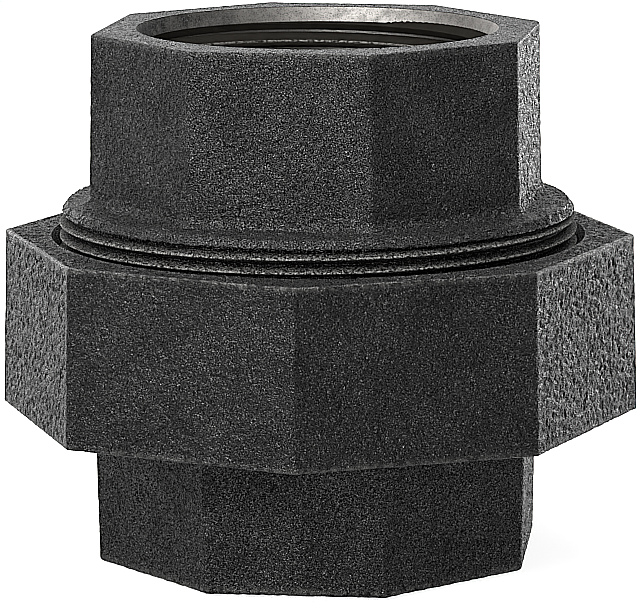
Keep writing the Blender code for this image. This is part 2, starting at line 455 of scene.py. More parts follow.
@dataclass(frozen=True)
class PipeSocket:
    """Tapered female pipe thread behind a bright turned chamfer.

    Attributes:
        face: Level of the end face.
        way: Which way the socket runs in.
        mouth: Radius of the chamfer at the face.
        mouth_step: Depth of the upright edge above the chamfer.
        root: Radius of the thread's roots at the face.
        crest: Radius of its crests at the face.
        pitch: Rise in one turn.
        taper: Radius lost for each unit of depth.
        depth: Face to the last thread.
        runout: Depth without thread at its end.
        chamfer_slope: Radius lost for each unit of depth in the chamfer.
        lead_slope: Radius lost besides for each unit of depth below the chamfer.
        relief: How far below the chamfer the cut thread lies.
        crest_flat: Width of the crests, as a share of the pitch.
        root_flat: Width of the bright roots, as a share of the pitch.
        root_start: Depth from which the roots are bright.
        step: Length of the step down to the waterway.
        step_skin: Depth of the casting skin at that step.
        waterway: Radius of the waterway.
        front_depth: Depth of a crest on the photographed side.
        chords: Chords in a turn of the thread.
    """

    face: float
    way: Way
    mouth: float = 0.0218
    mouth_step: float = 0.00006
    root: float = 0.0210
    crest: float = 0.01925
    pitch: float = 0.002209
    taper: float = 1 / 32
    depth: float = 0.0190
    runout: float = 0.0012
    chamfer_slope: float = 0.50
    lead_slope: float = 0.45
    relief: float = 0.00003
    crest_flat: float = 0.06
    root_flat: float = 0.11
    root_start: float = 0.0027
    step: float = 0.0012
    step_skin: float = 0.5
    waterway: float = 0.0183
    front_depth: float = 0.00297
    chords: int = 144

    def chamfer_depth(self) -> float:
        """Depth at which the chamfer meets the thread's roots."""
        over_root = self.mouth + self.chamfer_slope * self.mouth_step - self.root
        return over_root / (self.chamfer_slope - self.taper)

    def lead_in(self, level: float) -> float:
        """Radius that the mouth's chamfer and the steeper lead-in below it leave to the thread.

        Args:
            level: Level on the pipe axis.

        Returns:
            The smallest radius of a crest there.
        """
        depth = abs(level - self.face)
        steeper = self.lead_slope * max(0.0, depth - self.chamfer_depth())
        return self.mouth - self.chamfer_slope * max(0.0, depth - self.mouth_step) - steeper

    def wall(self, depth: float, zone: Zone) -> Station:
        """Station on the thread's tapered root at a depth."""
        return ring(self.face + self.way * depth, self.root - self.taper * depth, zone)

    def stations(self) -> list[Station]:
        """Levels of the wall, from the mouth in to the waterway.

        Returns:
            The stations in that order.
        """
        return [
            ring(self.face, self.mouth, Zone.BORE),
            ring(self.face + self.way * self.mouth_step, self.mouth, Zone.MOUTH),
            self.wall(self.chamfer_depth(), Zone.BORE),
            self.wall(self.root_start, Zone.ROOT),
            self.wall(self.depth, Zone.CAST),
            ring(self.face + self.way * (self.depth + self.step), self.waterway, Zone.CAST, self.step_skin),
        ]

    def ridge(self) -> ThreadRidge:
        """The thread's ridge, cut back by the chamfer at its mouth.

        Returns:
            The ridge, with as many whole turns as the socket holds.
        """
        turns = math.floor((self.depth - self.runout) / self.pitch - 0.5)
        near = self.face + self.way * self.pitch / 2
        return ThreadRidge(
            self.root, self.crest, self.pitch, turns,
            low=min(near, near + self.way * turns * self.pitch),
            front_level=self.face + self.way * self.front_depth,
            limit=lambda level: self.lead_in(level) + self.relief,
            taper=-self.taper * self.way, taper_level=self.face,
            crest_flat=self.crest_flat, root_flat=self.root_flat, shoulder_wear=0.0, steps=self.chords,
        )


def smooth_piece(
    bm: bmesh.types.BMesh, name: str, materials: list[bpy.types.Material],
) -> bpy.types.Object:
    """Turns a finished bmesh into a smooth-shaded object at the origin.

    Args:
        bm: The bmesh, freed here.
        name: Name of the piece.
        materials: Its material slots, in order.

    Returns:
        The linked object.
    """
    mesh = to_mesh(bm, name)
    mesh.shade_smooth()
    mesh.set_sharp_from_angle(angle=SMOOTH_ANGLE)
    for material in materials:
        mesh.materials.append(material)
    return linked(name, mesh)


def seat(piece: bpy.types.Object, body: str, node: str) -> None:
    """Puts a piece on its body, in the place of its CAD node.

    Args:
        piece: The finished piece.
        body: CAD body that carries it.
        node: CAD node that it stands for.
    """
    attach(piece, body)
    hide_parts(node)
    LOG.info("%s: %d faces on body %s", piece.name, len(piece.data.polygons), body)


@dataclass
class Casting(ABC):
    """An iron piece, lofted level by level round the pipe axis, with a sand-cast skin and cut threads.

    Attributes:
        solid: Sizes of the CAD node that it stands for.
        corner_radius: Radius of the octagon's upright corners.
        corner_steps: Chords round such a corner.
        rim_radius: Rounding of the octagon's ends.
        rim_steps: Chords of that rounding.
        rim_skin: Depth of the skin there.
        rim_calm: Width over which the sides take on their full skin.
        face_skin: Depth of the skin on the end faces.
        cast_step: Widest face on the cast skin.
        turned_step: Widest band on turned surfaces.
        lump_depth: Depth of the skin's broad waves.
        lump_size: Length of the broad waves.
        pit_depth: Depth of its pits.
        pit_size: Length of the pits.
        grain_depth: Depth of its finest grain.
        grain_size: Length of the finest grain.
        corner_calm: Share of the skin that the upright corners lack.
        calm_width: Half width of that calmer strip.
        fine_share: Depth of skin above which it carries the finest grain.
        level: Noise value above which the skin is not sunk.
        seed: Place in the noise that makes the skin of this piece.
        name: Name of the piece.
        node: CAD node that it stands for.
        body: CAD body that carries it.
        slot: Name of a material slot; not used.
    """

    solid: CadSolid
    corner_radius: float = 0.0012
    corner_steps: int = 6
    rim_radius: float = 0.0006
    rim_steps: int = 4
    rim_skin: float = 0.4
    rim_calm: float = 0.0006
    face_skin: float = 0.7
    cast_step: float = 0.0006
    turned_step: float = 0.0020
    lump_depth: float = 0.00003
    lump_size: float = 0.0060
    pit_depth: float = 0.00003
    pit_size: float = 0.0011
    grain_depth: float = 0.00026
    grain_size: float = 0.00045
    corner_calm: float = 0.7
    calm_width: float = 0.0007
    fine_share: float = 0.45
    level: float = 0.30
    seed: Vector = field(default_factory=Vector)

    name = "casting"
    node = "casting"
    body = "casting"
    slot = "casting"

    @abstractmethod
    def stations(self) -> list[Station]:
        """Levels of the closed wall, the last joined to the first."""

    @abstractmethod
    def ridges(self) -> list[tuple[ThreadRidge, Zone]]:
        """Thread ridges of this piece, with their surfaces."""

    def octagon(self, height: float, half_flats: float, **looks: float) -> Station:
        """Station on the octagon, with this piece's corners.

        Args:
            height: Level on the pipe axis.
            half_flats: Half the width across flats.
            looks: Zone, skin and wear of the station.

        Returns:
            The station.
        """
        return Station(height, half_flats, self.corner_radius, **looks)

    def rim(self, face: float, way: Way, half_flats: float, draft: float, worn: float) -> list[Station]:
        """Rounded edge of an octagonal end, from its face to its side.

        Args:
            face: Level of the end face.
            way: Direction from the face into the piece.
            half_flats: Half the width across flats at the face, before rounding.
            draft: Width gained for each unit of depth.
            worn: Wear of the edge.

        Returns:
            The stations from the face to the side.
        """
        radius = self.rim_radius
        side = half_flats + draft * radius
        start = self.octagon(face, half_flats - radius, skin=self.rim_skin, worn=worn)
        end = self.octagon(face + way * radius, side, skin=self.rim_skin, worn=worn)
        past = self.octagon(face + way * (radius + self.rim_calm), side + draft * self.rim_calm)
        return arc(start, end, False, self.rim_steps) + [past]

    def angles(self) -> list[float]:
        """Angles of one turn, close together round the octagon's corners.

        Returns:
            The angles, with a corner at 0.
        """
        outline = self.octagon(0.0, self.solid.half_flats(self.corner_radius))
        corner = outline.corner_arc()
        flat = 2 * (HALF_SIDE - corner)
        flat_steps = math.ceil(flat * outline.half_flats / self.cast_step)
        made = []
        for side in range(SIDES):
            middle = 2 * HALF_SIDE * side
            turns = [2 * step / self.corner_steps - 1 for step in range(self.corner_steps)]
            made += [middle + corner * turn for turn in turns]
            made += [middle + corner + flat * step / flat_steps for step in range(flat_steps)]
        return made

    def levels(self) -> list[Station]:
        """The stations with others put in between, so that no band is wider than its step.

        Returns:
            All the levels of the wall, in order.
        """
        given = self.stations()
        made = []
        for here, there in zip(given, given[1:] + given[:1]):
            step = self.cast_step if here.zone in (Zone.CAST, Zone.FACE) else self.turned_step
            wide = math.hypot(there.height - here.height, there.half_flats - here.half_flats)
            count = max(1, round(wide / step))
            made.append(here)
            made += [here.toward(there, share / count) for share in range(1, count)]
        return made

    def set_level(self, verts: list[bmesh.types.BMVert], station: Station, layers: tuple) -> None:
        """Moves a loop of vertices to a station, each keeping its angle.

        Args:
            verts: Vertices of the loop.
            station: Where they go.
            layers: The wear and skin layers.
        """
        wear, skin = layers
        is_round = station.half_flats <= station.corner_radius
        for vert in verts:
            angle = math.atan2(vert.co.y, vert.co.x)
            radius = station.radius(angle)
            vert.co = (radius * math.cos(angle), radius * math.sin(angle), station.height)
            from_corner = abs(off_corner(angle)) * radius
            corner = 0.0 if is_round else math.exp(-((from_corner / self.calm_width) ** 2))
            vert[wear] = station.worn
            vert[skin] = station.skin * (1.0 - corner * self.corner_calm)

    def loft(self) -> bmesh.types.BMesh:
        """Extrudes the closed wall through its levels.

        Returns:
            The bmesh, a corner at angle 0 and the skin still even.
        """
        bm = bmesh.new()
        layers = (bm.verts.layers.float.new(WEAR_LAYER), bm.verts.layers.float.new(SKIN_LAYER))
        angles = self.angles()
        levels = self.levels()
        verts = bmesh.ops.create_circle(bm, segments=len(angles), radius=1.0)["verts"]
        for vert, angle in zip(verts, angles):
            vert.co = (math.cos(angle), math.sin(angle), 0.0)
        self.set_level(verts, levels[0], layers)
        first_loop = list(bm.edges)
        loop = first_loop
        for below, station in zip(levels, levels[1:]):
            made = bmesh.ops.extrude_edge_only(bm, edges=loop)["geom"]
            self.set_level([item for item in made if isinstance(item, bmesh.types.BMVert)], station, layers)
            loop = [item for item in made if isinstance(item, bmesh.types.BMEdge)]
            for edge in loop:
                for face in edge.link_faces:
                    face.material_index = below.zone
        closing = bmesh.ops.bridge_loops(bm, edges=first_loop + loop)["faces"]
        for face in closing:
            face.material_index = levels[-1].zone
        bmesh.ops.recalc_face_normals(bm, faces=bm.faces)
        return bm

    def roughen(self, bm: bmesh.types.BMesh) -> None:
        """Sinks the cast surfaces by the waves, pits and grain of a sand mould.

        Args:
            bm: The lofted wall.
        """
        skin = bm.verts.layers.float[SKIN_LAYER]
        rough = [face for face in bm.faces if min(vert[skin] for vert in face.verts) > self.fine_share]
        edges = {edge for face in rough for edge in face.edges}
        bmesh.ops.subdivide_edges(bm, edges=list(edges), cuts=1, use_grid_fill=True)
        bm.normal_update()
        scales = [
            (self.lump_depth, self.lump_size),
            (self.pit_depth, self.pit_size),
            (self.grain_depth, self.grain_size),
        ]
        sunk = []
        for vert in bm.verts:
            place = vert.co + self.seed
            depth = sum(deep * max(0.0, self.level - noise.noise(place / size)) for deep, size in scales)
            sunk.append(vert.co - vert.normal * depth * vert[skin])
        for vert, place in zip(bm.verts, sunk):
            vert.co = place

    def build(self, materials: list[bpy.types.Material]) -> None:
        """Makes the piece and sets it on its body.

        Args:
            materials: Its surfaces, in Zone order.
        """
        bm = self.loft()
        self.roughen(bm)
        turn = Matrix.Rotation(self.solid.turn, 3, "Z")
        bmesh.ops.rotate(bm, cent=ORIGIN, matrix=turn, verts=bm.verts)
        for ridge, zone in self.ridges():
            mesh = ridge.mesh(zone)
            bm.from_mesh(mesh)
            bpy.data.meshes.remove(mesh)
        seat(smooth_piece(bm, self.name, materials), self.body, self.node)


@dataclass
class ThreadedEnd(Casting):
    """Upper casting: octagon with its pipe socket, flared collar and male union thread.

    Attributes:
        draft: Width that the octagon gains for each unit of depth below its face.
        rim_wear: Wear of the octagon's upper edge.
        mouth_edge: Width of the face's last ring round the mouth.
        foot_bore: Radius of the recess that holds the brass ring.
        recess_height: Height of that recess.
        recess_chamfer: Chamfer above it.
        thread_root: Root radius of the union thread.
        thread_crest: Its crest radius.
        thread_pitch: Its rise in one turn.
        thread_length: Foot to collar.
        thread_turns: Whole turns of thread.
        thread_end: Turns left bare under the collar.
        thread_lead: Height of the chamfer on the first thread.
        front_crest: Level of a crest on the photographed side.
        collar_radius: Radius of the collar.
        collar_thickness: Collar's foot to the top of its rim.
        collar_land: Upright part of the rim.
        collar_bevel: Radius lost from the land to the rim's top.
        collar_crown: Rise of the collar's top towards the flare.
        collar_foot_skin: Depth of the skin at the collar's lower edge.
        flare_radius: Casting fillet between octagon and collar.
        flare_steps: Chords of the flare.
    """

    rim_radius: float = 0.00045
    rim_skin: float = 0.15
    face_skin: float = 0.46
    draft: float = math.tan(math.radians(1.0))
    rim_wear: float = 0.05
    mouth_edge: float = 0.0003
    foot_bore: float = 0.02665
    recess_height: float = 0.0067
    recess_chamfer: float = 0.0010
    thread_root: float = 0.03015
    thread_crest: float = 0.03128
    thread_pitch: float = 0.0015875
    thread_length: float = 0.0146
    thread_turns: int = 8
    thread_end: float = 0.2
    thread_lead: float = 0.0008
    front_crest: float = 0.04108
    collar_radius: float = 0.03099
    collar_thickness: float = 0.0011
    collar_land: float = 0.0002
    collar_bevel: float = 0.0007
    collar_crown: float = 0.0003
    collar_foot_skin: float = 0.7
    flare_radius: float = 0.0013
    flare_steps: int = 7

    name = "upper_casting"
    node = "thread_end"
    body = "head"
    slot = "head_iron"

    def socket(self) -> PipeSocket:
        """The pipe socket in the upper face."""
        return PipeSocket(self.solid.top, Way.DOWN)

    def stations(self) -> list[Station]:
        """Levels from the foot up over the thread, collar and octagon, and down the bore.

        Returns:
            The stations of the closed wall.
        """
        foot, top = self.solid.foot, self.solid.top
        flats = self.solid.half_flats(self.corner_radius)
        collar_foot = foot + self.thread_length
        collar_top = collar_foot + self.collar_thickness
        flare_foot = collar_top + self.collar_crown
        spread = self.flare_radius
        flare_top = flare_foot + spread
        wall = flats + self.draft * (top - flare_top)
        flare = Station(flare_foot, wall + spread, self.corner_radius + spread, Zone.FACE)
        flare_end = self.octagon(flare_top, wall)
        socket = self.socket()
        recess = foot + self.recess_height
        return [
            ring(foot, self.foot_bore),
            ring(foot, self.thread_root - self.thread_lead / 2),
            ring(foot + self.thread_lead, self.thread_root, Zone.THREAD),
            ring(collar_foot, self.thread_root, Zone.THREAD),
            ring(collar_foot, self.collar_radius, Zone.CAST, self.collar_foot_skin),
            ring(collar_foot + self.collar_land, self.collar_radius, Zone.CAST, skin=1.0),
            ring(collar_top, self.collar_radius - self.collar_bevel, Zone.FACE, skin=1.0),
            *arc(flare, flare_end, False, self.flare_steps)[:-1],
            flare_end,
            *reversed(self.rim(top, Way.DOWN, flats, self.draft, self.rim_wear)),
            self.octagon(top, flats - self.rim_radius * 2, skin=self.face_skin),
            ring(top, socket.mouth + self.mouth_edge, Zone.CAST, self.face_skin),
            *socket.stations(),
            ring(recess + self.recess_chamfer, socket.waterway),
            ring(recess, socket.waterway + self.recess_chamfer),
            ring(recess, self.foot_bore),
        ]

    def union_thread(self) -> ThreadRidge:
        """The male thread below the collar.

        Returns:
            The ridge, cut back by the chamfer at the foot.
        """
        foot = self.solid.foot
        lead = self.thread_root - self.thread_lead / 2
        low = foot + self.thread_length - (self.thread_turns + self.thread_end) * self.thread_pitch
        return ThreadRidge(
            self.thread_root, self.thread_crest, self.thread_pitch, self.thread_turns, low, self.front_crest,
            limit=lambda level: lead + (level - foot),
        )

    def ridges(self) -> list[tuple[ThreadRidge, Zone]]:
        """The union thread and the pipe thread."""
        return [(self.union_thread(), Zone.THREAD), (self.socket().ridge(), Zone.BORE)]


@dataclass
class UnionNut(Casting):
    """Octagonal nut: drafted flats, a chamfered mouth over its inner thread, and the lip at its foot.

    Attributes:
        draft: Width that the octagon loses for each unit of height.
        foot_wear: Wear of the octagon's lower edge.
        top_wear: Wear of its upper edge.
        lip_radius: Radius of the hole in the lip.
        lip_thickness: Height of the lip.
        lip_chamfer: Chamfer of the hole.
        lip_wear: Wear of the hole's edge.
        thread_root: Root radius of the inner thread.
        thread_crest: Its crest radius.
        thread_foot: Height of the thread's end above the foot.
        thread_turns: Whole turns of thread.
        thread_end: Turns left bare under the top face.
        thread: The male thread that it carries.
        mouth_radius: Radius of the mouth's chamfer.
        mouth_edge: Width of the face's last ring round the mouth.
        relief: Undercut above the lip.
    """

    corner_radius: float = 0.0011
    rim_radius: float = 0.0003
    face_skin: float = 1.5
    draft: float = math.tan(math.radians(1.4))
    foot_wear: float = 0.1
    top_wear: float = 0.12
    lip_radius: float = 0.02814
    lip_thickness: float = 0.0042
    lip_chamfer: float = 0.0006
    lip_wear: float = 0.3
    thread_root: float = 0.03150
    thread_crest: float = 0.03045
    thread_foot: float = 0.0095
    thread_turns: int = 6
    thread_end: float = 0.25
    thread: ThreadRidge | None = None
    mouth_radius: float = 0.03230
    mouth_edge: float = 0.0003
    relief: float = 0.0006

    name = "octagon_nut"
    node = "union_nut"
    body = "nut"
    slot = "nut_iron"

    def stations(self) -> list[Station]:
        """Levels from the lip's mouth out over the foot, up the flats and down the bore.

        Returns:
            The stations of the closed wall.
        """
        foot, top = self.solid.foot, self.solid.top
        flats = self.solid.half_flats(self.corner_radius)
        top_flats = flats - self.draft * (top - foot)
        lip_top = foot + self.lip_thickness
        mouth_depth = self.mouth_radius - self.thread_root
        return [
            ring(foot + self.lip_chamfer, self.lip_radius),
            ring(foot, self.lip_radius + self.lip_chamfer, Zone.CAST, worn=self.lip_wear),
            *self.rim(foot, Way.UP, flats, -self.draft, self.foot_wear),
            *reversed(self.rim(top, Way.DOWN, top_flats, self.draft, self.top_wear)),
            self.octagon(top, top_flats - self.rim_radius * 2, zone=Zone.FACE, skin=self.face_skin),
            ring(top, self.mouth_radius + self.mouth_edge, Zone.FACE, self.face_skin),
            ring(top, self.mouth_radius, Zone.THREAD),
            ring(top - mouth_depth, self.thread_root, Zone.THREAD),
            ring(foot + self.thread_foot, self.thread_root),
            ring(lip_top + self.relief, self.thread_root),
            ring(lip_top, self.thread_root - self.relief),
            ring(lip_top, self.lip_radius),
        ]

    def ridges(self) -> list[tuple[ThreadRidge, Zone]]:
        """The inner thread, half a pitch off the male thread that it carries.

        Returns:
            The ridge, cut back by the mouth's chamfer.
        """
        male = self.thread
        top = self.solid.top
        ridge = ThreadRidge(
            self.thread_root, self.thread_crest, male.pitch, self.thread_turns,
            low=top - (self.thread_turns + self.thread_end) * male.pitch,
            front_level=male.front_level + male.pitch / 2,
            limit=lambda level: self.mouth_radius - (top - level),
        )
        return [(ridge, Zone.THREAD)]


@dataclass
class TailEnd(Casting):
    """Lower casting: octagon with its pipe socket, turned neck, flange and ground nose.

    Attributes:
        draft: Width that the octagon gains for each unit of height.
        rim_wear: Wear of the octagon's lower edge.
        body_length: Face to the shoulder under the nut.
        shoulder_steps: Chords of the shoulder's rounding.
        shoulder_skin: Depth of the skin at its inner edge.
        neck_radius: Radius of the turned neck.
        neck_play: Rise from the shoulder to the neck.
        flange_radius: Radius of the flange.
        flange_foot: Level of its lower face.
        flange_thickness: Height of the flange.
        flange_chamfer: Chamfer of its edges.
        nose_root: Radius of the nose where it leaves the flange.
        nose_tip: Radius at its tip.
        nose_sphere: Radius of the sphere that it is ground to.
        nose_steps: Chords of the nose.
    """

    draft: float = math.tan(math.radians(1.0))
    rim_wear: float = 0.1
    body_length: float = 0.01743
    shoulder_steps: int = 3
    shoulder_skin: float = 0.6
    neck_radius: float = 0.02614
    neck_play: float = 0.0002
    flange_radius: float = 0.02989
    flange_foot: float = 0.02213
    flange_thickness: float = 0.0042
    flange_chamfer: float = 0.0005
    nose_root: float = 0.0248
    nose_tip: float = 0.0201
    nose_sphere: float = 0.02751
    nose_steps: int = 10

    name = "lower_casting"
    node = "tail_end"
    body = "tail"
    slot = "tail_iron"

    def socket(self) -> PipeSocket:
        """The pipe socket in the lower face."""
        return PipeSocket(self.solid.foot, Way.UP)

    def nose(self, base: float) -> list[Station]:
        """Ground nose, a zone of a sphere.

        Args:
            base: Level of the flange's top.

        Returns:
            The stations from its root up to its tip.
        """
        sphere = self.nose_sphere
        centre = base - math.sqrt(sphere**2 - self.nose_root**2)
        root = math.asin(self.nose_root / sphere)
        tip = math.asin(self.nose_tip / sphere)
        turns = [mixed(root, tip, step / self.nose_steps) for step in range(self.nose_steps + 1)]
        return [ring(centre + sphere * math.cos(turn), sphere * math.sin(turn)) for turn in turns]

    def bore(self) -> list[Station]:
        """The socket's levels from the waterway out, each zone on the band that starts there.

        Returns:
            The stations down to the mouth.
        """
        given = self.socket().stations()
        zones = [Zone.CAST] + [station.zone for station in given[:-1]]
        return [replace(station, zone=zone) for station, zone in reversed(list(zip(given, zones)))]

    def stations(self) -> list[Station]:
        """Levels from the foot up the octagon, neck, flange and nose, and down the bore.

        Returns:
            The stations of the closed wall.
        """
        foot = self.solid.foot
        shoulder = foot + self.body_length
        wall = self.solid.half_flats(self.corner_radius)
        flats = wall - self.draft * self.body_length
        flange = foot + self.flange_foot
        flange_top = flange + self.flange_thickness
        chamfer = self.flange_chamfer
        side_end = self.octagon(shoulder - self.rim_radius, wall)
        shoulder_edge = self.octagon(shoulder, wall - self.rim_radius, skin=self.shoulder_skin)
        nose = self.nose(flange_top)
        return [
            *self.rim(foot, Way.UP, flats, self.draft, self.rim_wear),
            *arc(side_end, shoulder_edge, True, self.shoulder_steps),
            ring(shoulder + self.neck_play, self.neck_radius),
            ring(flange, self.neck_radius),
            ring(flange, self.flange_radius - chamfer),
            ring(flange + chamfer, self.flange_radius),
            ring(flange_top - chamfer, self.flange_radius),
            ring(flange_top, self.flange_radius - chamfer),
            *nose,
            ring(nose[-1].height, self.socket().waterway, Zone.CAST),
            *self.bore(),
        ]

    def ridges(self) -> list[tuple[ThreadRidge, Zone]]:
        """The pipe thread."""
        return [(self.socket().ridge(), Zone.BORE)]


@dataclass
class BrassSeat:
    """Turned brass ring in the foot of the threaded end, with the cone that the nose seals on.

    Attributes:
        foot: Its lower level.
        top: Its upper level.
        radius: Its outer radius.
        wall: Width of its lower edge.
        cone: Radius lost inside for each unit of height.
        chamfer: Chamfer of its outer edges.
        steps: Chords round it.
    """

    foot: float
    top: float
    radius: float
    wall: float = 0.0021
    cone: float = math.tan(math.radians(35.5))
    chamfer: float = 0.0003
    steps: int = 160

    def build(self, material: bpy.types.Material) -> None:
        """Spins the ring's section round the axis.

        Args:
            material: The brass.
        """
        inner_foot = self.radius - self.wall
        inner_top = inner_foot - self.cone * (self.top - self.foot)
        cut = self.chamfer
        bm = bmesh.new()
        points = closed_section(bm, [
            (inner_foot, self.foot), (self.radius - cut, self.foot), (self.radius, self.foot + cut),
            (self.radius, self.top - cut), (self.radius - cut, self.top), (inner_top, self.top),
        ])
        bmesh.ops.spin(
            bm, geom=points + bm.edges[:], cent=ORIGIN, axis=AXIS, angle=TURN,
            steps=self.steps, use_merge=True)
        bmesh.ops.recalc_face_normals(bm, faces=bm.faces)
        seat(smooth_piece(bm, "seat_ring", [material]), "seat", "brass_seat")


class Graph:
    """Adds nodes to a tree, setting or linking their inputs."""

    def __init__(self, tree: bpy.types.NodeTree) -> None:
        """Starts on an empty tree."""
        self.tree = tree
        tree.nodes.clear()

    def add(
        self, kind: str, feeds: dict[str | int, Feed] | None = None, **settings: object,
    ) -> bpy.types.Node:
        """Adds a node.

        Args:
            kind: Its type name.
            feeds: Values or sockets for its inputs, by name or number.
            settings: Its own properties.

        Returns:
            The node.
        """
        node = self.tree.nodes.new(kind)
        for name, value in settings.items():
            setattr(node, name, value)
        for key, feed in (feeds or {}).items():
            if isinstance(feed, bpy.types.NodeSocket):
                self.tree.links.new(feed, node.inputs[key])
            else:
                node.inputs[key].default_value = feed
        return node

    def place(self) -> bpy.types.NodeSocket:
        """Where a point lies on the piece."""
        return self.add("ShaderNodeTexCoord").outputs["Object"]

    def math(self, operation: str, first: Feed, second: Feed) -> bpy.types.NodeSocket:
        """Output of a math node on two values."""
        return self.add("ShaderNodeMath", {0: first, 1: second}, operation=operation).outputs[0]

    def times(self, first: Feed, second: Feed) -> bpy.types.NodeSocket:
        """Product of two values."""
        return self.math("MULTIPLY", first, second)

    def noise(
        self, scale: Feed, detail: float, roughness: float = 0.5, seed: Feed | None = None,
    ) -> bpy.types.NodeSocket:
        """Output of a noise on the piece.

        Args:
            scale: Waves to the metre.
            detail: Number of finer layers.
            roughness: Strength of the finer layers.
            seed: Which of many such noises, the plain one if not given.

        Returns:
            The noise, from 0 to 1.
        """
        feeds = {"Vector": self.place(), "Scale": scale, "Detail": detail, "Roughness": roughness}
        if seed is None:
            return self.add("ShaderNodeTexNoise", feeds).outputs["Fac"]
        feeds["W"] = seed
        return self.add("ShaderNodeTexNoise", feeds, noise_dimensions="4D").outputs["Fac"]

    def ramp(self, value: Feed, over: Range, to: Range = (0.0, 1.0)) -> bpy.types.NodeSocket:
        """Output of a smooth range, clamped.

        Args:
            value: What is mapped.
            over: Values that give the two ends of the result.
            to: The two ends.

        Returns:
            The mapped value.
        """
        feeds = {"Value": value, "From Min": over[0], "From Max": over[1], "To Min": to[0], "To Max": to[1]}
        return self.add("ShaderNodeMapRange", feeds, interpolation_type="SMOOTHSTEP").outputs["Result"]

    def blend(self, share: Feed, first: Feed, second: Feed) -> bpy.types.NodeSocket:
        """Colour mixed from two others."""
        return self.add("ShaderNodeMix", {0: share, 6: first, 7: second}, data_type="RGBA").outputs[2]

    def bump(self, height: Feed, depth: float) -> bpy.types.NodeSocket:
        """Normal of a relief of some depth."""
        feeds = {"Height": height, "Distance": depth, "Strength": 1.0}
        return self.add("ShaderNodeBump", feeds).outputs["Normal"]

    def give(self, result: bpy.types.Node, **outputs: bpy.types.NodeSocket) -> bpy.types.NodeTree:
        """Links a group's results to its output node.

        Args:
            result: The output node.
            outputs: The results by name, with underscores for spaces.

        Returns:
            The finished tree.
        """
        for name, socket in outputs.items():
            self.tree.links.new(socket, result.inputs[socket_name(name)])
        return self.tree


def socket_name(word: str) -> str:
    """Socket's name made from an argument's."""
    return word.replace("_", " ").title()


class Effect(Enum):
    """Surface effects that several finishes share, each a node group."""

    SAND_GRAIN = "sand_grain"
    TOOL_LINES = "tool_lines"
    EDGE_WEAR = "edge_wear"


